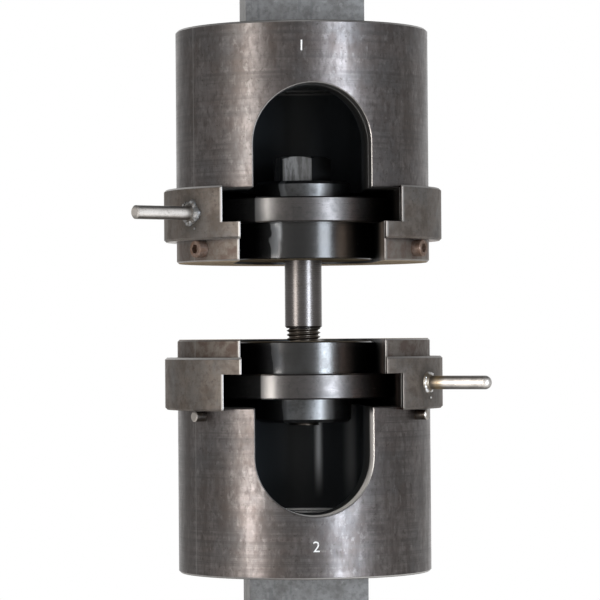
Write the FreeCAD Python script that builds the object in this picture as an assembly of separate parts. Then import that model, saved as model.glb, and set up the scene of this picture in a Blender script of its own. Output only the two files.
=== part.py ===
import FreeCAD, Part
import math
import os

# Bolt test fixture for a tensile testing machine, in millimetres, +Z up.
# Two slotted steel cups face each other mouth to mouth on the load axis.
# A bolt joins two flanged holders, which slide into the T-shaped slots of the cups from the front (-Y).
# A locking ring round each cup turns to close the front of its slot.
# The origin is on the load axis, at the end face of the upper tang.

V = FreeCAD.Vector
UP = V(0, 0, 1)
FRONT = V(0, -1, 0)
BACK = V(0, 1, 0)
ORIGIN = V(0, 0, 0)

# Cups, with depths measured from the mouth
cup_d = 150.0
cup_h = 138.0
mouth_gap = 45.0
cup_chamfer = 1.2
upper_lip_h = 23.0
lower_lip_h = 20.5
slot_h = 19.3
chamber_d = 72.0
chamber_depth = 103.5
window_w = 68.5
window_depth = 102.0
edge_break = 0.6

# Bolt holders
holder_flange_d = 103.0
holder_neck_d = 83.0
holder_flange_h = 14.8
holder_boss_d = 56.0
upper_boss_h = 10.2
lower_boss_h = 14.0
holder_slot_clearance = 0.5
neck_recess = 1.5
holder_chamfer = 0.8
boss_chamfer = 1.8

# Bolt
shank_d = 22.0
shank_l = 85.5
thread_d = 20.0
thread_pitch = 2.5
bolt_tip_stand = 2.0
head_across_flats = 30.0
head_h = 14.8
head_turn = 17.0
head_chamfer_angle = 30.0
head_fillet = 0.8
shank_clearance = 0.1
thread_clearance = 0.05

# Locking rings, with their place measured from the mouth
ring_wall = 7.2
ring_h = 30.8
ring_step_h = 9.6
ring_clearance = 0.3
ring_chamfer = 1.2
upper_ring_depth = 12.8
lower_ring_depth = 10.6

# Ring handles
handle_d = 8.0
handle_reach = 123.0
handle_angle = 56.5
handle_seat = 4.5
handle_fit = 0.02
handle_chamfer = 0.8
weld_leg = 2.4
weld_root = 1.0

# Supports that carry the rings
support_angle = 56.0
support_gap = 0.3
screw_d = 6.0
screw_head_d = 10.0
screw_head_h = 6.0
screw_l = 14.0
screw_tip_room = 1.0
screw_socket_af = 5.0
screw_socket_depth = 3.0
screw_socket_chamfer = 0.4
spot_face_depth = 0.3
pin_d = 6.0
pin_stand = 7.5
pin_l = 20.0
pin_fit = 0.01
pin_chamfer = 0.6

# Tangs that the machine grips
tang_w = 70.0
tang_t = 52.0
tang_h = 56.0
tang_chamfer = 1.5
spigot_d = 42.0
spigot_recess = 2.0
spigot_relief_h = 4.0
spigot_relief_depth = 2.0
lock_screw_d = 8.0
lock_screw_l = 20.0
lock_point_h = 2.0
lock_socket_af = 4.0
lock_socket_depth = 4.0

# Worked out from the sizes above
cup_r = cup_d / 2
slot_narrow_w = holder_neck_d + 2 * holder_slot_clearance
slot_wide_w = holder_flange_d + 2 * holder_slot_clearance
ring_ir = cup_r + ring_clearance
ring_or = ring_ir + ring_wall
upper_mouth_z = -(tang_h + cup_h)
lower_mouth_z = upper_mouth_z - mouth_gap
lock_screw_depth = (chamber_depth + cup_h) / 2

# How far a cutting solid runs past the face that it opens
past = 5.0

# The smallest length that counts when edges are picked out
tol = 0.01


def cylinder(radius, height, base=ORIGIN, axis=UP):
    return Part.makeCylinder(radius, height, base, axis)


def block(width, y0, y1, z0, z1):
    """A box centred on X, from y0 to y1 and from z0 to z1."""
    return Part.makeBox(width, y1 - y0, z1 - z0, V(-width / 2, y0, z0))


def polygon_wire(points):
    return Part.makePolygon(points + [points[0]])


def revolve(profile):
    """A turned solid about Z, from (radius, height) points."""
    wire = polygon_wire([V(r, 0, z) for r, z in profile])
    return Part.Face(wire).revolve(ORIGIN, UP, 360)


def hexagon_prism(across_flats, height, z0=0.0):
    """A hexagonal prism about Z with a flat facing the front."""
    corner_r = across_flats / math.sqrt(3)
    points = []
    for i in range(6):
        a = math.radians(60 * i)
        points.append(V(corner_r * math.cos(a), corner_r * math.sin(a), z0))
    return Part.Face(polygon_wire(points)).extrude(V(0, 0, height))


def outward(angle):
    """The level direction at an angle from the front towards -X."""
    a = math.radians(angle)
    return V(-math.sin(a), -math.cos(a), 0)


def lay_radially(shape, angle, radius, depth):
    """Turns a shape from +Z to the outward direction, and puts its origin at that radius and depth."""
    direction = outward(angle)
    placed = shape.copy()
    placed.Placement = FreeCAD.Placement(
        direction * radius + V(0, 0, depth), FreeCAD.Rotation(UP, direction)
    ).multiply(placed.Placement)
    return placed


def front_slot(width, z0, z1):
    """A slot open to the front that ends in a half round about the load axis."""
    straight = block(width, -cup_r - past - ring_wall, 0, z0, z1)
    return straight.fuse(cylinder(width / 2, z1 - z0, V(0, 0, z0)))


def support_angles():
    return (support_angle, -support_angle, 180.0)


def cup_blank():
    """The turned outside of a cup, with its mouth at z = 0."""
    c = cup_chamfer
    return revolve([(0, 0), (cup_r - c, 0), (cup_r, c), (cup_r, cup_h - c), (cup_r - c, cup_h), (0, cup_h)])


def cup_pocket(lip_h):
    """The T-slot for a holder, the chamber and the arched window, as one solid to cut away."""
    slot_end = lip_h + slot_h
    narrow = front_slot(slot_narrow_w, -past, lip_h + past)
    wide = front_slot(slot_wide_w, lip_h, slot_end)
    chamber = cylinder(chamber_d / 2, chamber_depth - lip_h, V(0, 0, lip_h))
    arch_r = window_w / 2
    arch_z = window_depth - arch_r
    window = block(window_w, -cup_r - past, 0, lip_h, arch_z)
    arch = cylinder(arch_r, cup_r + past, V(0, 0, arch_z), FRONT)
    return narrow.fuse([wide, chamber, window, arch]).removeSplitter()


def break_slot_edges(cup):
    """Chamfers the whole outline of the slot and window on the outside of the cup."""
    outline = []
    for face in cup.Faces:
        if not isinstance(face.Surface, Part.Cylinder) or abs(face.Surface.Radius - cup_r) > tol:
            continue
        for edge in face.Edges:
            box = edge.BoundBox
            level = box.ZLength < tol
            at_end = level and not cup_chamfer + tol < box.ZMin < cup_h - cup_chamfer - tol
            if box.YMax < -tol and not at_end:
                outline.append(edge)
    return cup.makeChamfer(edge_break, outline)


def break_upright_edges(shape, radius):
    """Chamfers the upright edges at a radius, as where an opening meets the outside of a ring."""
    picked = []
    for edge in shape.Edges:
        box = edge.BoundBox
        upright = box.ZLength > tol and box.XLength < tol and box.YLength < tol
        if upright and box.YMin < -tol and abs(math.hypot(box.XMin, box.YMin) - radius) < tol:
            picked.append(edge)
    return shape.makeChamfer(edge_break, picked)


def tang_hole():
    """The tapped hole for the tang, through the end wall of a cup."""
    return cylinder(spigot_d / 2, cup_h - chamber_depth + 2 * past, V(0, 0, chamber_depth - past))


def lock_screw_hole():
    """The tapped hole for the tang's lock screw, from the back of the cup to the spigot."""
    r = lock_screw_d / 2 + thread_clearance
    start = spigot_d / 2 - past
    return cylinder(r, cup_r - start + past, V(0, start, lock_screw_depth), BACK)


def cup(lip_h):
    """A cup with everything but the holes for its ring supports."""
    body = cup_blank().cut(cup_pocket(lip_h))
    body = break_slot_edges(body)
    return body.cut(tang_hole().fuse(lock_screw_hole()))


def upper_support_depth():
    """The ring rests on the heads of the screws, on the mouth side."""
    return upper_ring_depth - support_gap - screw_head_d / 2


def lower_support_depth():
    """The ring rests on pins, on the side of the closed end."""
    return lower_ring_depth + ring_h + support_gap + pin_d / 2


def upper_cup():
    body = cup(upper_lip_h)
    for angle in support_angles():
        seat_r = cup_r - spot_face_depth
        depth = screw_l + screw_tip_room
        hole = cylinder(screw_d / 2 + thread_clearance, depth + past, V(0, 0, -depth))
        face = cylinder(screw_head_d / 2 + spot_face_depth, past)
        body = body.cut(lay_radially(hole.fuse(face), angle, seat_r, upper_support_depth()))
    return body


def lower_cup():
    body = cup(lower_lip_h)
    for angle in support_angles():
        hole = cylinder(pin_d / 2 + pin_fit, pin_l, V(0, 0, pin_stand - pin_l))
        body = body.cut(lay_radially(hole, angle, cup_r, lower_support_depth()))
    return body


def support_screw(angle):
    """A socket head cap screw that points outwards from the cup."""
    r = screw_head_d / 2
    c = screw_socket_chamfer
    head = revolve([(0, 0), (r, 0), (r, screw_head_h - c), (r - c, screw_head_h), (0, screw_head_h)])
    socket = hexagon_prism(screw_socket_af, screw_socket_depth + past, screw_head_h - screw_socket_depth)
    stem_r = screw_d / 2
    stem = revolve([(0, 0), (stem_r, 0), (stem_r, c - screw_l), (stem_r - c, -screw_l), (0, -screw_l)])
    screw = head.cut(socket).fuse(stem).removeSplitter()
    return lay_radially(screw, angle, cup_r - spot_face_depth, upper_support_depth())


def support_pin(angle):
    """A plain dowel pin with its outer end proud of the cup."""
    r = pin_d / 2
    c = pin_chamfer
    z0 = pin_stand - pin_l
    z1 = pin_stand
    pin = revolve([(0, z0), (r - c, z0), (r, z0 + c), (r, z1 - c), (r - c, z1), (0, z1)])
    return lay_radially(pin, angle, cup_r, lower_support_depth())


def ring(depth):
    """A locking ring with a stepped opening at the front, as wide as the T-slot behind it."""
    c = ring_chamfer
    top = ring_h
    body = revolve([
        (ring_ir, 0), (ring_or - c, 0), (ring_or, c),
        (ring_or, top - c), (ring_or - c, top), (ring_ir, top),
    ])
    opening = block(slot_narrow_w, -ring_or - past, 0, -past, ring_step_h + past)
    opening = opening.fuse(block(slot_wide_w, -ring_or - past, 0, ring_step_h, top + past))
    body = break_upright_edges(body.cut(opening), ring_or)
    hole = cylinder(handle_d / 2 + handle_fit, handle_seat + past, V(0, 0, -handle_seat))
    body = body.cut(lay_radially(hole, handle_angle, ring_or, ring_h / 2))
    body.translate(V(0, 0, depth))
    return body


def handle(depth, round_tip):
    """A round rod that stands out from the ring, with the weld at its foot."""
    r = handle_d / 2
    reach = handle_reach - ring_or
    c = handle_chamfer
    if round_tip:
        rod = cylinder(r, handle_seat + reach - r, V(0, 0, -handle_seat))
        rod = rod.fuse(Part.makeSphere(r, V(0, 0, reach - r)))
    else:
        z0 = -handle_seat
        rod = revolve([(0, z0), (r, z0), (r, reach - c), (r - c, reach), (0, reach)])
    weld = Part.makeCone(r + weld_leg, r, weld_leg, ORIGIN, UP)
    weld = weld.fuse(cylinder(r + weld_leg, weld_root, V(0, 0, -weld_root)))
    rod = lay_radially(rod, handle_angle, ring_or, ring_h / 2)
    weld = lay_radially(weld, handle_angle, ring_or, ring_h / 2)
    weld = weld.cut(cylinder(ring_or, ring_h))
    body = rod.fuse(weld).removeSplitter()
    body.translate(V(0, 0, depth))
    return body


def holder(lip_h, boss_h, bore_d):
    """A flanged holder: its neck fills the narrow slot and its flange bears on the lips."""
    neck_r = holder_neck_d / 2
    flange_r = holder_flange_d / 2
    boss_r = holder_boss_d / 2
    c = holder_chamfer
    e = boss_chamfer
    flange_z = lip_h + holder_flange_h
    boss_z = flange_z + boss_h
    bore_r = bore_d / 2
    return revolve([
        (bore_r + c, neck_recess), (neck_r - c, neck_recess), (neck_r, neck_recess + c),
        (neck_r, lip_h), (flange_r - c, lip_h), (flange_r, lip_h + c),
        (flange_r, flange_z - c), (flange_r - c, flange_z), (boss_r, flange_z),
        (boss_r, boss_z - e), (boss_r - e, boss_z), (bore_r + c, boss_z),
        (bore_r, boss_z - c), (bore_r, neck_recess + c),
    ])


def upper_seat_z():
    """Where the bolt head bears on the upper holder."""
    return upper_mouth_z + upper_lip_h + holder_flange_h + upper_boss_h


def bolt_tip_z():
    """The bolt stands a little out of the end of the lower holder's boss."""
    return lower_mouth_z - (lower_lip_h + holder_flange_h + lower_boss_h + bolt_tip_stand)


def bolt():
    """A hexagon bolt with a fitted shank that is thicker than its thread."""
    seat = upper_seat_z()
    tip = bolt_tip_z()
    shank_r = shank_d / 2
    thread_r = thread_d / 2
    shank_end = seat - shank_l
    tip_c = thread_pitch / 2
    step = shank_r - thread_r
    f = head_fillet
    stem = revolve([
        (0, tip), (thread_r - tip_c, tip), (thread_r, tip + tip_c),
        (thread_r, shank_end - step), (shank_r, shank_end),
        (shank_r, seat - f), (shank_r + f, seat), (0, seat),
    ])
    corner_r = head_across_flats / math.sqrt(3)
    flat_r = head_across_flats / 2
    rise = (corner_r - flat_r) * math.tan(math.radians(head_chamfer_angle))
    head = hexagon_prism(head_across_flats, head_h, seat)
    head.rotate(ORIGIN, UP, -head_turn)
    turned = revolve([
        (0, seat), (corner_r, seat), (corner_r, seat + head_h - rise),
        (flat_r, seat + head_h), (0, seat + head_h),
    ])
    return head.common(turned).fuse(stem).removeSplitter()


def tang():
    """A flat tang with a screwed spigot, its shoulder against the closed end of the cup."""
    bar = block(tang_w, -tang_t / 2, tang_t / 2, cup_h, cup_h + tang_h)
    far = [e for e in bar.Edges if e.BoundBox.ZMin > cup_h + tol]
    bar = bar.makeChamfer(tang_chamfer, far)
    r = spigot_d / 2 - thread_clearance
    z0 = chamber_depth + spigot_recess
    relief_r = r - spigot_relief_depth
    relief_z = cup_h - spigot_relief_h
    c = thread_pitch / 2
    spigot = revolve([
        (0, z0), (r - c, z0), (r, z0 + c), (r, relief_z - spigot_relief_depth),
        (relief_r, relief_z), (relief_r, cup_h), (0, cup_h),
    ])
    point = lock_screw_point()
    return bar.fuse(spigot).cut(point).removeSplitter()


def lock_screw_point():
    """The cone point of the lock screw, along +Y from the dimple in the spigot."""
    tip_y = spigot_d / 2 - lock_point_h
    flat_r = lock_screw_d / 2 - lock_point_h
    return Part.makeCone(flat_r, lock_screw_d / 2, lock_point_h, V(0, tip_y, lock_screw_depth), BACK)


def lock_screw():
    """A headless screw with a hexagon socket that stops the tang from turning."""
    r = lock_screw_d / 2
    tip_y = spigot_d / 2 - lock_point_h
    body = cylinder(r, lock_screw_l - lock_point_h, V(0, tip_y + lock_point_h, lock_screw_depth), BACK)
    socket = hexagon_prism(lock_socket_af, lock_socket_depth + past)
    turn = FreeCAD.Rotation(UP, BACK)
    place = V(0, tip_y + lock_screw_l - lock_socket_depth, lock_screw_depth)
    socket.Placement = FreeCAD.Placement(place, turn)
    return body.fuse(lock_screw_point()).cut(socket).removeSplitter()


def to_upper(shape):
    """Puts a part that was drawn with its mouth at z = 0 into the upper half."""
    placed = shape.copy()
    placed.translate(V(0, 0, upper_mouth_z))
    return placed


def to_lower(shape):
    """Turns a part over about Y, so that it faces the upper half, and puts it into the lower half."""
    placed = shape.copy()
    placed.rotate(ORIGIN, V(0, 1, 0), 180)
    placed.translate(V(0, 0, lower_mouth_z))
    return placed


def fixture_parts():
    upper_bore = shank_d + 2 * shank_clearance
    lower_bore = thread_d + 2 * thread_clearance
    parts = {
        "upper_cup": to_upper(upper_cup()),
        "lower_cup": to_lower(lower_cup()),
        "upper_tang": to_upper(tang()),
        "lower_tang": to_lower(tang()),
        "upper_lock_screw": to_upper(lock_screw()),
        "lower_lock_screw": to_lower(lock_screw()),
        "upper_ring": to_upper(ring(upper_ring_depth)),
        "lower_ring": to_lower(ring(lower_ring_depth)),
        "upper_handle": to_upper(handle(upper_ring_depth, False)),
        "lower_handle": to_lower(handle(lower_ring_depth, True)),
        "upper_holder": to_upper(holder(upper_lip_h, upper_boss_h, upper_bore)),
        "lower_holder": to_lower(holder(lower_lip_h, lower_boss_h, lower_bore)),
        "bolt": bolt(),
    }
    for side, angle in zip(("left", "right", "rear"), support_angles()):
        parts[f"ring_screw_{side}"] = to_upper(support_screw(angle))
    for side, angle in zip(("right", "left", "rear"), support_angles()):
        parts[f"ring_pin_{side}"] = to_lower(support_pin(angle))
    return parts


os.makedirs("parts", exist_ok=True)
for name, shape in fixture_parts().items():
    shape.exportStep(f"parts/{name}.step")
    print(name, "solids", len(shape.Solids), "valid", shape.isValid(), "mm3", round(shape.Volume))
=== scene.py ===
import math

import bmesh
import bpy
from mathutils import Matrix, Vector, noise


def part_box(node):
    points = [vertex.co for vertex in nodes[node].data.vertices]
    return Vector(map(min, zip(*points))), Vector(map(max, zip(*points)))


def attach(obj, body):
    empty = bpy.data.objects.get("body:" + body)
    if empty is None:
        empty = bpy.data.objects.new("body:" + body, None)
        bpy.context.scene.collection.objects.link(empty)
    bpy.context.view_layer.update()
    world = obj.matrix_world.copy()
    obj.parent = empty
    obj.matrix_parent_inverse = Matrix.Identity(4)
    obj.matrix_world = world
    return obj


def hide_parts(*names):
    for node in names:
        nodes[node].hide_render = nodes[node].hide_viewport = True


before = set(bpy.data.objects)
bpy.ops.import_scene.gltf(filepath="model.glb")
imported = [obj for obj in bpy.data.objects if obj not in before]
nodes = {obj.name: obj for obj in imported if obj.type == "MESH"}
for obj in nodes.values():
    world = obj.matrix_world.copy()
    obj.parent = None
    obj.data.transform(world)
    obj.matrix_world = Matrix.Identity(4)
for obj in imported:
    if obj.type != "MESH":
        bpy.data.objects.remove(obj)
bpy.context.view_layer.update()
scene = bpy.context.scene
up = Vector((0, 0, 1))

# Sizes and heights that the rest is placed from, in metres
upper_mouth_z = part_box("upper_cup")[0].z
upper_end_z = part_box("upper_cup")[1].z
lower_mouth_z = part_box("lower_cup")[1].z
lower_end_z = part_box("lower_cup")[0].z
mouth_gap_z = (upper_mouth_z + lower_mouth_z) / 2
fixture_low_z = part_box("lower_tang")[0].z
cup_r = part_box("lower_cup")[1].x
ring_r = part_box("lower_ring")[1].x
pin_end_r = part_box("ring_pin_rear")[1].y
bore_r = 0.036

# Holders and the slots that they slide in
holder_flange_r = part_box("upper_holder")[1].x
holder_neck_r = 0.0415
holder_boss_r = 0.028
slot_clearance = 0.0005
slot_flange_half = holder_flange_r + slot_clearance
slot_neck_half = holder_neck_r + slot_clearance
ring_step_h = 0.0096

# Depths in a cup from its mouth: its rusty lip, the slot's ledge and end, the chamber and all hollows
lip_depth = 0.012
ledge_depth = 0.0225
slot_depth = 0.0425
chamber_depth = 0.1035
hollow_depth = 0.111

# How far edges and ends are broken or worn back from the outermost surface
cup_edge = 0.0014
ring_edge = 0.0015
ring_edge_bare = 0.0012
end_wear = 0.0009
edge_margin = 0.00015

# How deep a face's own finish reaches, and how softly a finish ends at an edge
face_depth = 0.0002
crisp = 0.0001
hairline = 0.00006

# Handles
handle_azimuth = math.radians(56.5)
rod_r = 0.004
rod_end_r = 0.123

# Bolt
bolt_top_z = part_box("bolt")[1].z
bolt_tip_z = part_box("bolt")[0].z
bolt_head_h = 0.0148
shank_end_z = -0.2315
thread_r = 0.010
thread_root_r = 0.00865
thread_pitch = 0.0025
thread_top_z = shank_end_z - 0.0010
tip_chamfer = 0.00125

# A thread's crest and root end at these shares of its pitch
crest_share = 1 / 16
root_share = 3 / 8

# Camera: where the photograph was taken from, and where the load axis lies in it
image_size = 600
focal_px = 3276.0
camera_distance = 1.95
camera_azimuth = math.radians(-5.0)
eye_below_mouth = 0.0007
axis_px = Vector((303.3, 340.0))
camera_roll = math.radians(0.42)
sensor_mm = 36.0


def toward(azimuth):
    """The level direction from the fixture at an angle to the right of the front (-Y)."""
    return Vector((math.sin(azimuth), -math.cos(azimuth), 0))


def add_camera():
    data = bpy.data.cameras.new("camera")
    data.sensor_width = sensor_mm
    data.lens = focal_px / image_size * sensor_mm
    data.clip_start = 0.05
    data.clip_end = 50
    camera = bpy.data.objects.new("camera", data)
    scene.collection.objects.link(camera)
    scene.camera = camera
    back = toward(camera_azimuth)
    camera.location = back * camera_distance + up * (lower_mouth_z - eye_below_mouth)
    level = Matrix((up.cross(back), up, back)).transposed()
    offset = axis_px - Vector((image_size / 2, image_size / 2))
    yaw = Matrix.Rotation(math.atan(offset.x / focal_px), 3, "Y")
    pitch = Matrix.Rotation(math.atan(offset.y / focal_px), 3, "X")
    roll = Matrix.Rotation(-camera_roll, 3, "Z")
    camera.rotation_mode = "QUATERNION"
    camera.rotation_quaternion = (level @ yaw @ pitch @ roll).to_quaternion()


class Nodes:
    """The nodes of one finish, added in a short form."""

    def __init__(self, tree):
        self.tree = tree
        tree.nodes.clear()

    def add(self, kind, inputs=None, **settings):
        node = self.tree.nodes.new(kind)
        for key, value in settings.items():
            setattr(node, key, value)
        for key, value in (inputs or {}).items():
            self.set(node, key, value)
        return node

    def set(self, node, key, value):
        socket = node.inputs[key]
        if isinstance(value, bpy.types.NodeSocket):
            self.tree.links.new(value, socket)
        else:
            socket.default_value = value

    def math(self, operation, a, b=0.0, c=0.0):
        return self.add("ShaderNodeMath", {0: a, 1: b, 2: c}, operation=operation).outputs[0]

    def product(self, first, *others):
        """All the masks multiplied together."""
        for other in others:
            first = self.math("MULTIPLY", first, other)
        return first

    def away(self, value, place):
        """How far value is from a place, whichever side it lies on."""
        return self.math("ABSOLUTE", self.math("SUBTRACT", value, place))

    def length(self, a, b):
        squares = self.math("ADD", self.math("MULTIPLY", a, a), self.math("MULTIPLY", b, b))
        return self.math("SQRT", squares)

    def ramp(self, value, low, high, to_low=0.0, to_high=1.0):
        node = self.add("ShaderNodeMapRange", {0: value, 1: low, 2: high, 3: to_low, 4: to_high},
                        interpolation_type="SMOOTHSTEP")
        return node.outputs[0]

    def above(self, value, limit, soft):
        """1 above a limit and 0 below it, changing softly within soft of it."""
        return self.ramp(value, limit - soft, limit + soft)

    def below(self, value, limit, soft):
        """1 below a limit and 0 above it, changing softly within soft of it."""
        return self.ramp(value, limit - soft, limit + soft, 1.0, 0.0)

    def band(self, value, low, high, soft):
        """1 between low and high and 0 outside, with soft sides."""
        return self.product(self.above(value, low, soft), self.below(value, high, soft))

    def mix(self, factor, a, b):
        return self.add("ShaderNodeMix", {0: factor, 6: a, 7: b}, data_type="RGBA").outputs[2]

    def blend(self, factor, a, b):
        return self.add("ShaderNodeMix", {0: factor, 2: a, 3: b}, data_type="FLOAT").outputs[0]

    def dot(self, a, b):
        node = self.add("ShaderNodeVectorMath", {0: a, 1: b}, operation="DOT_PRODUCT")
        return node.outputs["Value"]

    def stretched(self, vector, scale):
        return self.add("ShaderNodeMapping", {"Vector": vector, "Scale": scale}).outputs[0]

    def noise(self, vector, size_mm, detail=4.0, roughness=0.6):
        inputs = {"Vector": vector, "Scale": 1000 / size_mm, "Detail": detail, "Roughness": roughness}
        return self.add("ShaderNodeTexNoise", inputs).outputs[0]

    def seen_rays(self, mirrored):
        """1 for rays from the camera and through glass, and mirrored for those off metal."""
        path = self.add("ShaderNodeLightPath").outputs
        direct = self.math("MAXIMUM", path["Is Camera Ray"], path["Is Transmission Ray"])
        return self.math("MAXIMUM", direct, self.product(path["Is Glossy Ray"], mirrored))


# Studio: tall soft lamps whose reflections are the bright bands on the turned steel

def add_lamp(name, angle, low_z, high_z, width, radiance, colour, distance=1.6):
    """A tall soft lamp at an angle to the viewer's right of the camera's direction."""
    height = high_z - low_z
    data = bpy.data.lights.new(name, "AREA")
    data.shape = "RECTANGLE"
    data.size = width
    data.size_y = height
    data.color = colour
    data.energy = radiance * math.pi * width * height
    lamp = bpy.data.objects.new(name, data)
    scene.collection.objects.link(lamp)
    out = toward(camera_azimuth + math.radians(angle))
    lamp.location = out * distance + up * (low_z + high_z) / 2
    lamp.rotation_mode = "QUATERNION"
    lamp.rotation_quaternion = out.to_track_quat("Z", "Y")


def add_lamps():
    """A tall lamp on each side, and a nearer and stronger one beside the lower half."""
    tall = (-1.0, 0.5)
    short = (-0.9, -0.28)
    near = 1.45
    warm = (1.0, 0.965, 0.91)
    rosy = (1.0, 0.93, 0.9)
    cool = (0.79, 0.885, 1.0)
    add_lamp("warm_lamp", -51, *tall, width=0.5, radiance=4.2, colour=warm)
    add_lamp("warm_low_lamp", -46, *short, width=0.4, radiance=7.0, colour=rosy, distance=near)
    add_lamp("cool_lamp", 35.5, *tall, width=0.5, radiance=7.6, colour=cool)
    add_lamp("cool_low_lamp", 35, *short, width=0.4, radiance=13.0, colour=cool, distance=near)


# The studio seen by the steel: brightness against the angle to the viewer's right of the camera
studio = [
    (-180, 0.7), (-150, 0.5), (-138, 0.42), (-125, 0.43), (-114, 0.54), (-105, 0.43), (-80, 0.44),
    (-68, 0.6), (-51, 0.9), (-34, 0.6), (-18, 0.44), (0, 0.42), (12, 0.52), (24, 0.8), (36, 1.05),
    (49, 0.8), (62, 0.52), (80, 0.44), (104, 0.43), (117, 0.58), (132, 0.65), (150, 0.7), (180, 0.7),
]


def studio_colour(n, angle):
    """How bright the studio is at an angle."""
    ramp = n.add("ShaderNodeValToRGB", {0: n.math("MULTIPLY_ADD", angle, 0.5 / math.pi, 0.5)})
    stops = ramp.color_ramp.elements
    while len(stops) < len(studio):
        stops.new(0.5)
    for stop, (degrees, level) in zip(stops, studio):
        stop.position = 0.5 + degrees / 360
        stop.color = (level, level, level, 1)
    return ramp.outputs[0]


def add_world():
    """White behind the fixture, and a studio on the camera's side that is dimmer overhead and below."""
    white_from = math.radians(140)
    white_to = math.radians(165)
    world = bpy.data.worlds.new("studio")
    world.use_nodes = True
    scene.world = world
    n = Nodes(world.node_tree)
    direction = n.add("ShaderNodeTexCoord").outputs["Generated"]
    back = toward(camera_azimuth)
    angle = n.math("ARCTAN2", n.dot(direction, up.cross(back)), n.dot(direction, back))
    steep = n.math("ABSOLUTE", n.add("ShaderNodeSeparateXYZ", {0: direction}).outputs[2])
    share = n.ramp(steep, 0.35, 0.85, 1.0, 0.4)
    dimmed = n.mix(share, (0, 0, 0, 1), studio_colour(n, angle))
    room = n.add("ShaderNodeBackground", {"Color": dimmed, "Strength": 1.0})
    white = n.add("ShaderNodeBackground", {"Color": (1, 1, 1, 1), "Strength": 1.0})
    behind = n.ramp(n.math("ABSOLUTE", angle), white_from, white_to)
    both = {0: n.seen_rays(behind), 1: room.outputs[0], 2: white.outputs[0]}
    mixed = n.add("ShaderNodeMixShader", both)
    n.add("ShaderNodeOutputWorld", {"Surface": mixed.outputs[0]})


def floor_material():
    """A pale, slightly cloudy sheet."""
    material = bpy.data.materials.new("floor")
    material.use_nodes = True
    n = Nodes(material.node_tree)
    place = n.add("ShaderNodeTexCoord").outputs["Object"]
    cloud_mm = 300
    tone = n.ramp(n.noise(place, cloud_mm), 0.3, 0.7)
    colour = n.mix(tone, (0.84, 0.82, 0.79, 1), (0.87, 0.86, 0.84, 1))
    shader = n.add("ShaderNodeBsdfPrincipled", {"Base Color": colour, "Roughness": 0.85})
    strength = n.product(n.seen_rays(1.0), 0.4)
    pale = n.add("ShaderNodeEmission", {"Color": colour, "Strength": strength})
    both = n.add("ShaderNodeAddShader", {0: shader.outputs[0], 1: pale.outputs[0]})
    n.add("ShaderNodeOutputMaterial", {"Surface": both.outputs[0]})
    return material


def add_floor():
    below = 0.05
    radius = 1.0
    bpy.ops.mesh.primitive_circle_add(vertices=96, radius=radius, fill_type="NGON",
                                      location=(0, 0, fixture_low_z - below))
    floor = bpy.context.object
    floor.name = "floor"
    floor.data.materials.append(floor_material())


# Materials

def grey(level, warm=0.0, pink=0.0):
    """A steel colour: warm above 0 is browner, below 0 bluer, and pink takes out green."""
    return (level * (1 + warm), level * (1 - pink), level * (1 - warm), 1)


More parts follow.
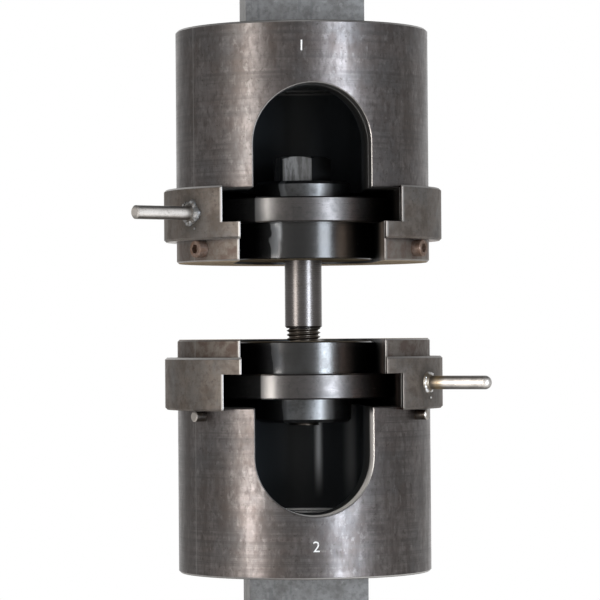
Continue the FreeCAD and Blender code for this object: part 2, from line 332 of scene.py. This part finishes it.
class Steel:
    """A steel surface whose colour, roughness and relief are built up from what is on it."""

    def __init__(self, name, base, rough, metallic=1.0):
        self.material = bpy.data.materials.new(name)
        self.material.use_nodes = True
        self.n = Nodes(self.material.node_tree)
        n = self.n
        self.place = n.add("ShaderNodeTexCoord").outputs["Object"]
        self.x, self.y, self.z = n.add("ShaderNodeSeparateXYZ", {0: self.place}).outputs
        self.radius = n.length(self.x, self.y)
        self.turned = n.add("ShaderNodeCombineXYZ", {0: self.radius, 2: self.z}).outputs[0]
        self.azimuth = n.math("ARCTAN2", self.x, n.math("MULTIPLY", self.y, -1.0))
        self.on_right = n.above(self.x, 0.0, 0.001)
        self.colour = base
        self.rough = rough
        self.metallic = metallic
        self.gloss = 0.5
        self.relief = None

    def raise_by(self, height, weight):
        height = self.n.product(height, weight)
        self.relief = height if self.relief is None else self.n.math("ADD", self.relief, height)

    def roughen(self, size_mm):
        """Fine grain all over the surface."""
        self.raise_by(self.n.noise(self.place, size_mm, 3.0, 0.6), 1.0)

    def stain(self, amount, colour, rough=None, metallic=None, gloss=None):
        """Lays another finish over the surface where amount is 1."""
        self.colour = self.n.mix(amount, self.colour, colour)
        if rough is not None:
            self.rough = self.n.blend(amount, self.rough, rough)
        if metallic is not None:
            self.metallic = self.n.blend(amount, self.metallic, metallic)
        if gloss is not None:
            self.gloss = self.n.blend(amount, self.gloss, gloss)

    def grooves(self, pitch_mm, tint, shift=0.03):
        """Fine marks left by turning, round the axis on walls and in rings on faces."""
        n = self.n
        fine = n.noise(self.turned, pitch_mm, 4.0, 0.7)
        coarse = n.noise(self.turned, pitch_mm * 8, 3.0, 0.6)
        self.raise_by(fine, 1.0)
        self.raise_by(coarse, 0.5)
        self.stain(n.ramp(coarse, 0.45, 0.75, 0.0, 0.35), tint)
        self.rough = n.math("ADD", self.rough, n.ramp(fine, 0.3, 0.7, -shift, shift))

    def patina(self, size_mm, amount, colour, rough_add=0.05, low=0.42, high=0.66, stretch=(1, 1, 1)):
        """Clouds of another tone, about size_mm wide, squeezed along each axis by stretch."""
        n = self.n
        cloud = n.noise(n.stretched(self.place, stretch), size_mm, 5.0, 0.62)
        mask = n.ramp(cloud, low, high, 0.0, amount)
        self.colour = n.mix(mask, self.colour, colour)
        self.rough = n.math("MULTIPLY_ADD", mask, rough_add, self.rough)

    def specks(self, size_mm, amount, colour, low=0.6, high=0.72):
        mask = self.n.ramp(self.n.noise(self.place, size_mm, 3.0, 0.7), low, high, 0.0, amount)
        self.stain(mask, colour)
        self.raise_by(mask, -0.3)

    def scratches(self, size_mm, stretch, amount, colour):
        lines = self.n.noise(self.n.stretched(self.place, stretch), size_mm, 2.0, 0.5)
        mask = self.n.ramp(lines, 0.64, 0.7, 0.0, amount)
        self.stain(mask, colour)
        self.raise_by(mask, -0.25)

    def streaks_down(self, size_mm):
        """Runs down a wall: 1 in them, 0 between."""
        upright = self.n.stretched(self.place, (1, 1, 0.12))
        return self.n.ramp(self.n.noise(upright, size_mm, 3.0, 0.6), 0.42, 0.6)

    def worn_edge_highlight(self, half_width, outer_r, low_z, high_z, left, right):
        """Worn metal with a painted highlight along both upright edges of an opening at the front, of
        its own strength on each side.
        """
        n = self.n
        width = 0.0013
        strip = n.band(n.math("ABSOLUTE", self.x), half_width, half_width + width, 0.0003)
        along = n.band(self.z, low_z, high_z, 0.0002)
        outside = n.above(self.radius, outer_r - 0.0008, crisp)
        # Only the front edges get the painted highlight.
        in_front = n.ramp(self.y, -0.001, 0.0, 1.0, 0.0)
        side = n.blend(self.on_right, left, right)
        self.stain(n.product(strip, along, outside, in_front, side), grey(0.5, 0.03), 0.48)

    def finish(self, bump, distance=0.0001):
        n = self.n
        relief = n.add("ShaderNodeBump", {"Height": self.relief, "Strength": bump, "Distance": distance})
        inputs = {"Base Color": self.colour, "Roughness": self.rough, "Metallic": self.metallic,
                  "Specular IOR Level": self.gloss, "Normal": relief.outputs[0]}
        shader = n.add("ShaderNodeBsdfPrincipled", inputs)
        n.add("ShaderNodeOutputMaterial", {"Surface": shader.outputs[0]})
        return self.material


class CupSteel(Steel):
    """Aged turned steel, worn and with a painted highlight at the edges of the slot, painted nearly
    black in the bore as shade, rusty at the lip.
    """

    def __init__(self, name, mouth_z, inward):
        super().__init__(name, grey(0.178, 0.065, 0.04), 0.31)
        n = self.n
        bare_lip = 0.0125
        self.lip_z = sorted((mouth_z, mouth_z + bare_lip * inward))
        self.depth = n.product(n.math("SUBTRACT", self.z, mouth_z), inward)
        self.slot = n.below(self.depth, slot_depth, 0.0025)
        self.hollow = n.below(self.depth, hollow_depth, 0.001)
        near_bore = n.ramp(self.radius, bore_r + 0.001, bore_r + 0.010, 1.0, 0.0)
        self.bore = n.product(near_bore, self.hollow)
        self.outward = n.ramp(self.radius, bore_r + 0.010, cup_r - 0.0015)

    def weather(self):
        """Patina in patches of several sizes, turning marks, pits and scratches."""
        n = self.n
        self.patina(13, 0.85, grey(0.08, 0.14, 0.05), 0.07, stretch=(1, 1, 0.25))
        self.patina(12, 0.4, grey(0.096, 0.1, 0.05), 0.05, 0.42, 0.7, (0.35, 0.35, 2.0))
        self.patina(30, 0.6, grey(0.12, -0.02, 0.02), 0.02)
        self.patina(8, 0.55, grey(0.08, 0.15, 0.07), 0.03, 0.46, 0.7, (1, 1, 0.6))
        self.patina(3.2, 0.7, grey(0.07, 0.1, 0.05), 0.03, 0.44, 0.72, (1.2, 1.2, 0.6))
        self.patina(3.5, 0.5, grey(0.27, 0.04, 0.02), -0.02, 0.52, 0.74, (1, 1, 0.6))
        self.grooves(0.45, grey(0.11, 0.04))
        lines = n.ramp(n.noise(self.turned, 2.4, 3.0, 0.7), 0.45, 0.62)
        patches = n.ramp(n.noise(self.place, 22, 3.0, 0.5), 0.42, 0.58, 0.1, 0.6)
        self.stain(n.product(lines, patches), grey(0.085, 0.06, 0.03))
        self.specks(2.6, 0.6, grey(0.045, 0.14))
        self.scratches(9, (1, 1, 14), 0.3, grey(0.08, 0.05))
        self.scratches(6, (1, 1, 4), 0.25, grey(0.07, 0.12))
        self.scratches(11, (7, 7, 1), 0.2, grey(0.09, 0.0))

    def rust_lip(self, tone, rust, amount):
        """A dull band round the mouth, with rust in patches."""
        n = self.n
        lip = n.below(self.depth, lip_depth, 0.002)
        patches = n.ramp(n.noise(self.place, 6, 5.0, 0.65), 0.38, 0.62)
        self.stain(n.product(lip, 0.75), grey(tone, 0.14), 0.6)
        self.stain(n.product(lip, patches, amount), (rust, rust * 0.67, rust * 0.54, 1), 0.6, 0.8)

    def paint_left_reflections(self):
        """A painted pale reflection line upright on the left, and a painted darker reflection strip
        beyond it.
        """
        n = self.n
        line_azimuth = math.radians(-62.6)
        strip_from = math.radians(-80)
        strip_to = math.radians(-65)
        line = n.ramp(n.away(self.azimuth, line_azimuth), 0.004, 0.009, 0.35, 0.0)
        self.stain(line, grey(0.3, 0.03), 0.42)
        strip = n.band(self.azimuth, strip_from, strip_to, math.radians(2.5))
        self.stain(n.product(strip, 0.35), grey(0.07, 0.12, 0.05))

    def slot_wall(self, neck_wall, flange_wall):
        """Bare on the left and stained in runs on the right, and painted dark near the chamber as shade.
        """
        n = self.n
        past_ledge = n.above(self.depth, ledge_depth, 0.0003)
        share = n.blend(past_ledge, 0.5, 1.0)
        least = n.blend(past_ledge, 0.5, 0.0)
        runs = n.math("MULTIPLY_ADD", self.streaks_down(9), share, least)
        stained = n.mix(runs, grey(0.03), n.mix(past_ledge, neck_wall, flange_wall))
        wall = n.mix(self.on_right, grey(0.25, 0.05), stained)
        # Painted shade: the wall turns near black towards the chamber.
        return n.mix(n.above(self.radius, bore_r + 0.020, 0.006), grey(0.03), wall)

    def line_openings(self, window, window_metallic, slot_wall):
        """The walls of the slot and of the window behind it."""
        n = self.n
        inside = n.product(n.below(self.radius, cup_r - cup_edge, crisp), self.hollow)
        metallic = n.blend(self.slot, window_metallic, 0.85)
        self.stain(inside, n.mix(self.slot, window, slot_wall), 0.4, metallic)

    def paint_bore_shade(self, end_light, painted_streaks=()):
        """A chamber painted nearly black as shade and a little lighter to the right, with painted
        reflection streaks down its back and a painted light ring at its end.
        """
        n = self.n
        # Painted shade: the bore nearly black, a little lighter on the right.
        tone = n.mix(n.ramp(self.x, 0.0, 0.02), grey(0.022, -0.1), grey(0.04, -0.1))
        self.stain(self.bore, tone, 0.4, 0.0, 0.3)
        for painted_streak in painted_streaks:
            self.paint_bore_reflection(*painted_streak)
        # Painted light: a brighter ring where the chamber's end face is lit.
        end = n.band(self.depth, chamber_depth - 0.001, chamber_depth + 0.001, 0.0004)
        self.stain(n.product(end, self.bore), grey(end_light, 0.02), 0.42, 0.5)

    def paint_bore_reflection(self, angle, width, tone, reach):
        """A painted reflection streak down the chamber's back, fading out at a depth."""
        n = self.n
        fade = 0.030
        behind = n.ramp(self.y, 0.0, 0.001)
        away = n.away(n.math("ARCTAN2", self.x, self.y), math.radians(angle))
        across = n.ramp(away, 0.0, width / 2 / bore_r, 1.0, 0.0)
        along = n.ramp(self.depth, reach - fade, reach, 1.0, 0.0)
        self.stain(n.product(across, along, self.bore, behind), grey(tone), 0.4, 0.3)

    def edge_wear_and_highlights(self, left, right):
        """Worn metal with a painted highlight, stronger on one side, round the window and along the
        lip's opening.
        """
        n = self.n
        across = 0.020
        # Worn edge with a painted highlight, weighted left and right by where the light catches it.
        edge = n.band(self.radius, cup_r - end_wear, cup_r - edge_margin, hairline)
        worn = n.product(n.ramp(self.x, -across, across, left, right), n.blend(self.slot, 1.0, 0.6))
        self.stain(n.product(edge, worn), grey(0.55, 0.02), 0.42)
        self.worn_edge_highlight(slot_neck_half, cup_r, *self.lip_z, 0.9, 0.3)

    def dull_mouth(self):
        mouth = self.n.below(self.n.math("ABSOLUTE", self.depth), face_depth, crisp)
        self.stain(mouth, (0.4, 0.32, 0.23, 1), 0.9, 0.0, 0.0)


def upper_cup_steel():
    """Its window is painted dark towards the bore as shade, with one thin painted highlight line where
    the wall catches the light.
    """
    s = CupSteel("upper_cup_steel", upper_mouth_z, 1.0)
    n = s.n
    s.weather()
    s.rust_lip(tone=0.2, rust=0.12, amount=0.75)
    s.paint_left_reflections()
    # Painted shade darkening the window's wall towards the bore, and a thin painted highlight line on
    # it.
    dark = n.mix(s.outward, grey(0.02), grey(0.07, 0.04))
    line_r = 0.0588
    line_w = 0.0016
    line = n.product(n.band(s.radius, line_r, line_r + line_w, 0.0003), 0.8)
    window = n.mix(line, dark, grey(0.6))
    # Painted light: the narrow slot's wall is a light brown where light falls on it.
    s.line_openings(window, 0.3, s.slot_wall((0.42, 0.34, 0.28, 1), grey(0.06, 0.2)))
    s.paint_bore_shade(end_light=0.12)
    s.edge_wear_and_highlights(0.65, 0.45)
    s.dull_mouth()
    return s.finish(0.12)


def lower_cup_steel():
    """The wall of its window has painted light, most of all far from the mouth, and painted shade nearer
    the bore.
    """
    s = CupSteel("lower_cup_steel", lower_mouth_z, -1.0)
    n = s.n
    s.weather()
    s.rust_lip(tone=0.16, rust=0.085, amount=0.8)
    s.paint_left_reflections()
    far_depth = 0.078
    lit_r = 0.057
    # Painted light on the window's outer and deep wall, and painted shade nearer the bore.
    far = n.above(s.depth, far_depth, 0.010)
    lit = n.product(n.math("MAXIMUM", s.outward, far), n.above(s.radius, lit_r, 0.0015))
    window = n.mix(lit, grey(0.02), grey(0.85, 0.04))
    s.line_openings(window, 0.1, s.slot_wall((0.16, 0.125, 0.11, 1), (0.14, 0.105, 0.09, 1)))
    # Two painted reflection streaks in the bore: angle, width, tone and the depth they reach.
    narrow = (18.8, 0.007, 0.9, 0.098)
    wide = (56.0, 0.016, 0.3, 0.104)
    s.paint_bore_shade(end_light=1.0, painted_streaks=(narrow, wide))
    s.edge_wear_and_highlights(0.4, 0.95)
    s.dull_mouth()
    return s.finish(0.12)


def weld_heat(s, handle, side):
    """A dark cloud on the ring round the foot of a handle."""
    n = s.n
    dark_r = 0.006
    clear_r = 0.015
    low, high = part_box(handle)
    across = n.product(n.math("SUBTRACT", s.azimuth, handle_azimuth * side), ring_r)
    above = n.math("SUBTRACT", s.z, (low.z + high.z) / 2)
    near = n.ramp(n.length(across, above), dark_r, clear_r, 1.0, 0.0)
    cloud = n.ramp(n.noise(s.place, 5, 4.0, 0.65), 0.35, 0.65, 0.25, 0.9)
    s.stain(n.product(near, cloud), grey(0.085, 0.12), 0.5)


def ring_edges(s):
    """Bare metal on the walls, and worn edges with a painted highlight stronger on the left, on the
    openings, apart from each ring's lower edge.
    """
    n = s.n
    upper_low, upper_high = (corner.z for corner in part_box("upper_ring"))
    lower_low, lower_high = (corner.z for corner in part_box("lower_ring"))
    runs = n.mix(s.streaks_down(4), grey(0.05), (0.26, 0.16, 0.12, 1))
    wall = n.below(s.radius, ring_r - ring_edge, 0.0002)
    s.stain(wall, n.mix(s.on_right, grey(0.4, 0.06), runs), 0.38)
    # Worn edges with a painted highlight, stronger on the left.
    edge = n.band(s.radius, ring_r - ring_edge_bare, ring_r - edge_margin, hairline)
    for z in (upper_low, lower_low):
        edge = n.product(edge, n.above(n.away(s.z, z), ring_edge_bare + crisp, crisp))
    s.stain(n.product(edge, n.blend(s.on_right, 0.9, 0.3)), grey(0.62, 0.02), 0.5)
    s.worn_edge_highlight(slot_neck_half, ring_r, upper_low, upper_low + ring_step_h, 0.9, 0.5)
    s.worn_edge_highlight(slot_flange_half, ring_r, upper_low + ring_step_h, upper_high, 0.9, 0.6)
    s.worn_edge_highlight(slot_flange_half, ring_r, lower_low, lower_high - ring_step_h, 0.9, 0.15)
    s.worn_edge_highlight(slot_neck_half, ring_r, lower_high - ring_step_h, lower_high, 0.8, 0.1)


def ring_steel():
    """Duller and browner turned steel."""
    s = Steel("ring_steel", grey(0.163, 0.135, 0.02), 0.55)
    s.patina(11, 0.85, grey(0.092, 0.19, 0.03), 0.08)
    s.patina(28, 0.5, grey(0.15, 0.0), 0.0)
    s.patina(4, 0.6, grey(0.1, 0.19, 0.03), 0.03, 0.46, 0.7)
    s.patina(7, 0.3, grey(0.24, 0.02), -0.02, 0.52, 0.75)
    s.grooves(0.4, grey(0.13, 0.09))
    s.specks(2.0, 0.5, grey(0.055, 0.15))
    s.scratches(8, (1, 1, 10), 0.35, grey(0.1, 0.05))
    s.scratches(7, (6, 6, 1), 0.35, grey(0.1, 0.05))
    weld_heat(s, "upper_handle", -1)
    weld_heat(s, "lower_handle", 1)
    ring_edges(s)
    return s.finish(0.12)


def holder_shades(s, upper, neck, boss):
    """Painted shade on the left part of each wall, a painted highlight beside it, and painted highlights
    on the flange's edge and the boss's right side.
    """
    n = s.n
    soft = 0.012
    wander = n.ramp(n.noise(s.place, 16, 3.0, 0.5), 0.35, 0.65, -0.04, 0.04)
    rim_limit = n.blend(upper, math.radians(-34.0), math.radians(-37.5))
    neck_limit = n.blend(upper, math.radians(-30.5), math.radians(-33.0))
    limit = n.math("MULTIPLY_ADD", wander, neck, n.blend(neck, rim_limit, neck_limit))
    past = n.math("SUBTRACT", s.azimuth, limit)
    # Painted shade: darker left of a limit that wanders on the neck.
    s.stain(n.ramp(past, -soft, soft, 0.8, 0.0), grey(0.03))
    # Painted highlight just right of that limit.
    rise = n.above(past, 0.0, soft)
    highlight_end = n.blend(neck, math.radians(20), math.radians(10))
    fall = n.ramp(past, math.radians(6), highlight_end, 1.0, 0.0)
    painted_highlight = n.mix(neck, grey(0.16), n.mix(upper, grey(0.16), grey(0.36)))
    s.stain(n.product(rise, fall, 0.8), painted_highlight)
    # Painted highlight on the flange's outer edge.
    edge = n.above(s.radius, holder_flange_r - 0.00125, 0.00025)
    edge_end = n.ramp(past, math.radians(5), math.radians(12), 1.0, 0.0)
    s.stain(n.product(rise, edge_end, edge, 0.85), grey(0.42, 0.03), 0.44)
    # Painted highlight on the boss's right side.
    boss_highlight = n.band(s.azimuth, math.radians(14), math.radians(34), math.radians(4))
    s.stain(n.product(boss_highlight, boss, 0.7), grey(0.34))


def holder_steel():
    """Fine turned steel, smoother on the neck and duller on the boss, with dull brown mouth faces."""
    s = Steel("holder_steel", grey(0.117, 0.05, 0.03), 0.29)
    n = s.n
    upper = n.above(s.z, mouth_gap_z, 0.005)
    neck = n.below(s.radius, holder_neck_r + 0.0004, crisp)
    boss = n.below(s.radius, holder_boss_r + 0.0002, crisp)
    s.stain(n.product(neck, 0.9), n.mix(upper, grey(0.1), grey(0.066)), 0.18)
    s.stain(boss, grey(0.13), 0.38)
    s.patina(9, 0.6, grey(0.07, 0.04), 0.07)
    s.patina(3, 0.45, grey(0.065, 0.02), 0.05, 0.5, 0.66)
    s.grooves(0.35, grey(0.08, 0.02))
    s.specks(1.6, 0.4, grey(0.035, 0.08))
    s.scratches(8, (1, 1, 12), 0.35, grey(0.055))
    holder_shades(s, upper, neck, boss)
    for z in (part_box("upper_holder")[0].z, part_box("lower_holder")[1].z):
        face = n.below(n.away(s.z, z), face_depth, crisp)
        s.stain(face, (0.115, 0.092, 0.062, 1), 0.9, 0.0, 0.0)
    return s.finish(0.14)


def bolt_steel():
    """Polished shank, browner thread, and a scaly head with a painted highlight on its left flat and
    painted shade on the flats beyond the front one.
    """
    s = Steel("bolt_steel", grey(0.143, 0.05, 0.03), 0.27)
    n = s.n
    s.patina(6, 0.4, grey(0.1, 0.1), 0.05)
    s.grooves(0.3, grey(0.11, 0.05))
    thread = n.ramp(s.z, thread_top_z - 0.001, thread_top_z, 1.0, 0.0)
    s.stain(n.product(thread, 0.75), grey(0.1, 0.2), 0.36)
    under_head_z = bolt_top_z - bolt_head_h
    head = n.above(s.z, under_head_z - 0.0001, 0.0002)
    scale = n.ramp(n.noise(n.stretched(s.place, (1, 1, 0.15)), 2.6, 4.0, 0.7), 0.42, 0.62)
    # Painted light and shade on the head: bright on the left flat, darker towards the front, dark beyond
    # it.
    front_end = math.radians(13)
    shade = n.ramp(s.azimuth, math.radians(-30), front_end)
    flat = n.mix(scale, n.mix(shade, grey(0.46, 0.02), grey(0.3, 0.02)), grey(0.2, 0.04))
    shaded_flats = n.ramp(s.azimuth, front_end, front_end + math.radians(2))
    s.stain(head, n.mix(shaded_flats, flat, grey(0.07)), 0.5)
    return s.finish(0.12)


def handle_steel():
    """Pale worn rods with painted dark reflections along the top and bottom, the lower one
    straw-coloured by its weld.
    """
    s = Steel("handle_steel", grey(0.85, 0.07), 0.36, 0.7)
    n = s.n
    s.patina(7, 0.5, grey(0.45, 0.1), 0.08)
    s.specks(1.4, 0.4, grey(0.15, 0.15), 0.58, 0.7)
    s.scratches(5, (6, 6, 1), 0.35, grey(0.28, 0.05))
    for handle in ("upper_handle", "lower_handle"):
        low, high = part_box(handle)
        off = n.away(s.z, (low.z + high.z) / 2)
        on_rod = n.ramp(off, rod_r * 1.2, rod_r * 1.4, 1.0, 0.0)
        # Painted dark reflections along the rod's top and bottom.
        side = n.ramp(off, rod_r * 0.3, rod_r * 0.9)
        s.stain(n.product(on_rod, side, 0.9), grey(0.1, 0.02), 0.4, 1.0)
    end = n.above(s.radius, rod_end_r - end_wear, 0.0003)
    s.stain(n.product(end, 0.6), grey(0.3, 0.06), 0.5)
    straw = n.ramp(s.radius, ring_r + 0.0075, ring_r + 0.0135, 0.75, 0.0)
    s.stain(n.product(straw, s.on_right), (0.33, 0.23, 0.1, 1), 0.4, 0.9)
    foot = n.ramp(s.radius, ring_r + 0.004, ring_r + 0.007, 1.0, 0.0)
    s.stain(n.product(foot, 0.8), grey(0.12, 0.15), 0.45)
    return s.finish(0.15)


def weld_steel(name, bright, rough):
    """Grey weld metal with dull and bright patches."""
    s = Steel(name, grey(bright), rough)
    s.patina(3.0, 0.85, grey(bright * 0.4, 0.12), 0.12, 0.44, 0.6)
    s.roughen(0.9)
    return s.finish(0.2, 0.0002)


def tang_steel():
    """Flat grey steel with fine upright scratches."""
    s = Steel("tang_steel", grey(0.205, 0.02), 0.45)
    s.patina(14, 0.7, grey(0.12, 0.06), 0.08)
    s.patina(3, 0.6, grey(0.12, 0.04), 0.03)
    s.patina(5, 0.4, grey(0.3, 0.02), -0.03, 0.56, 0.68)
    s.specks(1.8, 0.4, grey(0.07, 0.1))
    s.scratches(4, (1, 1, 0.12), 0.4, grey(0.12, 0.0))
    s.roughen(1.1)
    return s.finish(0.1)


def screw_steel():
    """Rusty screw heads."""
    s = Steel("screw_steel", (0.24, 0.175, 0.145, 1), 0.5, 0.8)
    s.patina(3, 0.8, (0.15, 0.09, 0.06, 1), 0.12, 0.38, 0.58)
    s.roughen(0.8)
    return s.finish(0.15)


def pin_steel():
    """Dark pins with bright ends."""
    s = Steel("pin_steel", grey(0.1, 0.12), 0.35)
    s.patina(3, 0.6, (0.07, 0.045, 0.03, 1), 0.15, 0.42, 0.6)
    s.stain(s.n.above(s.radius, pin_end_r - end_wear, 0.0003), grey(0.42, 0.08), 0.35)
    s.roughen(0.7)
    return s.finish(0.13)


def stamp_paint():
    """Worn white paint."""
    s = Steel("stamp_paint", (0.8, 0.79, 0.77, 1), 0.6, 0.0)
    s.patina(1.1, 0.6, (0.42, 0.4, 0.38, 1), 0.1, 0.5, 0.62)
    s.roughen(0.5)
    return s.finish(0.2)


def dress(material, *names):
    for name in names:
        slots = nodes[name].data.materials
        slots.clear()
        slots.append(material)


# Pieces that the frame holds only in plain form

def new_piece(name, mesh, material, body):
    mesh.materials.clear()
    mesh.materials.append(material)
    piece = bpy.data.objects.new(name, mesh)
    scene.collection.objects.link(piece)
    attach(piece, body)
    return piece


def smooth(mesh):
    for polygon in mesh.polygons:
        polygon.use_smooth = True


def thread_radius(phase):
    """The thread's radius at a phase of its pitch, from the middle of a crest."""
    phase = min(phase, 1 - phase)
    share = min(max((phase - crest_share) / (root_share - crest_share), 0), 1)
    return thread_r + (thread_root_r - thread_r) * share


def thread_column(angle_share, z0, z1):
    """The thread's profile at a share of a turn, as (radius, height) from z0 to z1."""
    corners = (0.0, crest_share, root_share, 0.5, 1 - root_share, 1 - crest_share)
    turns = math.ceil((z1 - z0) / thread_pitch) + 2
    start = z0 + (angle_share - 1) * thread_pitch
    column = []
    for k in range(turns):
        for corner in corners:
            z = start + (k + corner) * thread_pitch
            r = thread_radius(corner)
            if z < z0 or z > z1:
                z = min(max(z, z0), z1)
                r = thread_radius(((z - start) / thread_pitch) % 1)
            column.append((min(r, thread_r - tip_chamfer + z - z0), z))
    return column


def add_thread(shape, z0, z1):
    """A right-handed thread between two heights, chamfered at the lower one."""
    steps = 72
    columns = []
    for i in range(steps + 1):
        a = 2 * math.pi * i / steps
        profile = thread_column(i / steps, z0, z1)
        columns.append([shape.verts.new((r * math.cos(a), r * math.sin(a), z)) for r, z in profile])
    for left, right in zip(columns, columns[1:]):
        for corners in zip(left, right, right[1:], left[1:]):
            shape.faces.new(corners)
    bmesh.ops.remove_doubles(shape, verts=[v for c in columns for v in c], dist=1e-7)


def bolt_with_thread(material):
    """The bolt's own head and shank, with a real thread in place of its plain end."""
    shape = bmesh.new()
    shape.from_mesh(nodes["bolt"].data)
    geometry = shape.verts[:] + shape.edges[:] + shape.faces[:]
    cut = bmesh.ops.bisect_plane(shape, geom=geometry, plane_co=(0, 0, thread_top_z - 0.0001),
                                 plane_no=(0, 0, 1), clear_inner=True)
    edges = [e for e in cut["geom_cut"] if isinstance(e, bmesh.types.BMEdge)]
    bmesh.ops.holes_fill(shape, edges=edges)
    add_thread(shape, bolt_tip_z, thread_top_z)
    bmesh.ops.holes_fill(shape, edges=[e for e in shape.edges if e.is_boundary])
    bmesh.ops.dissolve_degenerate(shape, dist=1e-7, edges=shape.edges[:])
    bmesh.ops.recalc_face_normals(shape, faces=shape.faces[:])
    mesh = bpy.data.meshes.new("bolt_threaded")
    shape.to_mesh(mesh)
    shape.free()
    smooth(mesh)
    mesh.set_sharp_from_angle(angle=math.radians(25))
    piece = new_piece("bolt_threaded", mesh, material, "bolt_body")
    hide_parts("bolt")


class Foot:
    """The place on its ring where a handle stands."""

    def __init__(self, handle, side):
        low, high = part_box(handle)
        self.centre = up * (low.z + high.z) / 2
        self.out = toward(handle_azimuth * side)
        self.across = up.cross(self.out)

    def place(self, u, w, lift):
        """A point u across and w above the handle's axis, lifted off the ring's wall."""
        surface = math.sqrt(ring_r ** 2 - u ** 2)
        return self.out * (surface + lift) + self.across * u + self.centre + up * w


# A weld bead round a rod: how thick it is, and how far its middle stands off the rod
bead_thick = 0.0014
bead_thick_wander = 0.0009
bead_reach = 0.0010
bead_reach_wander = 0.0008
bead_lift = 0.0003


def bead_section(a, middle, thick):
    """The bead's round section at an angle about the rod, swollen unevenly, as foot places."""
    steps = 16
    spots = []
    for k in range(steps):
        b = 2 * math.pi * k / steps
        reach = middle + thick * math.cos(b)
        spot = Vector((reach * math.cos(a), reach * math.sin(a), thick * math.sin(b)))
        swollen = thick * (1 + 0.34 * noise.noise(spot * 620) + 0.18 * noise.noise(spot * 1400))
        reach = middle + swollen * math.cos(b)
        spots.append((reach * math.cos(a), reach * math.sin(a), bead_lift + swollen * math.sin(b)))
    return spots


def add_bead(shape, foot, side, heavy):
    """A closed, lumpy roll round the handle, of uneven thickness and width."""
    around = 120
    rows = []
    for i in range(around):
        a = 2 * math.pi * i / around
        lump = noise.noise(Vector((math.cos(a) * 1.6, math.sin(a) * 1.6, 3.7 * side)))
        thick = heavy * (bead_thick + bead_thick_wander * lump)
        middle = rod_r + heavy * (bead_reach + bead_reach_wander * lump)
        rows.append([shape.verts.new(foot.place(*spot)) for spot in bead_section(a, middle, thick)])
    for here, there in zip(rows, rows[1:] + rows[:1]):
        for corners in zip(here, there, there[1:] + there[:1], here[1:] + here[:1]):
            shape.faces.new(corners)


def add_drop(shape, foot, u, w, radius):
    """A drop of spatter, a little flattened on the ring's wall."""
    for vertex in bmesh.ops.create_icosphere(shape, subdivisions=3, radius=radius)["verts"]:
        spot = vertex.co * (1 + 0.2 * noise.noise(vertex.co * 900))
        lift = spot.x * 0.7 + radius * 0.2
        vertex.co = foot.place(u, w, lift) + foot.across * spot.y + up * spot.z


def weld_bead(name, body, handle, side, heavy, drops, material):
    """An uneven bead of weld round the foot of a handle, with a few drops of spatter."""
    foot = Foot(handle, side)
    shape = bmesh.new()
    add_bead(shape, foot, side, heavy)
    for u, w, radius in drops:
        add_drop(shape, foot, u, w, radius)
    bmesh.ops.recalc_face_normals(shape, faces=shape.faces[:])
    mesh = bpy.data.meshes.new(name)
    shape.to_mesh(mesh)
    shape.free()
    smooth(mesh)
    new_piece(name, mesh, material, body)


def stamped_number(name, digit, body, azimuth, centre_z, material):
    """A plain number stamped on the front of a cup, its strokes filled with pale paint."""
    height = 0.0062
    height_share = 0.7
    stand = 0.00006
    text = bpy.data.curves.new(name, "FONT")
    text.body = digit
    text.size = height / height_share
    text.align_x = "CENTER"
    text.extrude = stand
    source = bpy.data.objects.new(name + "_text", text)
    mesh = bpy.data.meshes.new_from_object(source)
    bpy.data.objects.remove(source)
    for vertex in mesh.vertices:
        u, w, lift = vertex.co
        out = toward(azimuth + u / cup_r)
        vertex.co = out * (cup_r + lift) + up * (centre_z - height / 2 + w)
    mesh.name = name
    new_piece(name, mesh, material, body)


def add_materials():
    dress(upper_cup_steel(), "upper_cup")
    dress(lower_cup_steel(), "lower_cup")
    dress(ring_steel(), "upper_ring", "lower_ring")
    dress(holder_steel(), "upper_holder", "lower_holder")
    dress(handle_steel(), "upper_handle", "lower_handle")
    dress(tang_steel(), "upper_tang", "lower_tang")
    dress(screw_steel(), "ring_screw_left", "ring_screw_right", "ring_screw_rear",
          "upper_lock_screw", "lower_lock_screw")
    dress(pin_steel(), "ring_pin_left", "ring_pin_right", "ring_pin_rear")


def add_welds():
    """A heavy dull bead at the upper rod, and a small bright one with a single drop at the lower.

    Each drop has its place across and above the rod's axis, and its radius.
    """
    drops = ((-0.0078, 0.0050, 0.0011), (-0.0064, 0.0062, 0.0008), (0.0030, -0.0088, 0.0008))
    dull = weld_steel("upper_weld_steel", 0.3, 0.56)
    weld_bead("upper_weld", "upper_ring_body", "upper_handle", -1, 1.4, drops, dull)
    bright = weld_steel("lower_weld_steel", 0.8, 0.38)
    weld_bead("lower_weld", "lower_ring_body", "lower_handle", 1, 1.0, drops[2:], bright)


def add_numbers():
    """One number near the closed end of each cup, the upper one facing the viewer."""
    white = stamp_paint()
    upper_inset = 0.0146
    lower_inset = 0.0190
    upper_z = upper_end_z - upper_inset
    lower_z = lower_end_z + lower_inset
    stamped_number("upper_number", "1", "upper_housing", camera_azimuth, upper_z, white)
    stamped_number("lower_number", "2", "lower_housing", 0.0, lower_z, white)


def add_looks():
    add_materials()
    bolt = bolt_steel()
    dress(bolt, "bolt")
    bolt_with_thread(bolt)
    add_welds()
    add_numbers()


scene.view_settings.view_transform = "Standard"
add_camera()
add_world()
add_floor()
add_lamps()
add_looks()
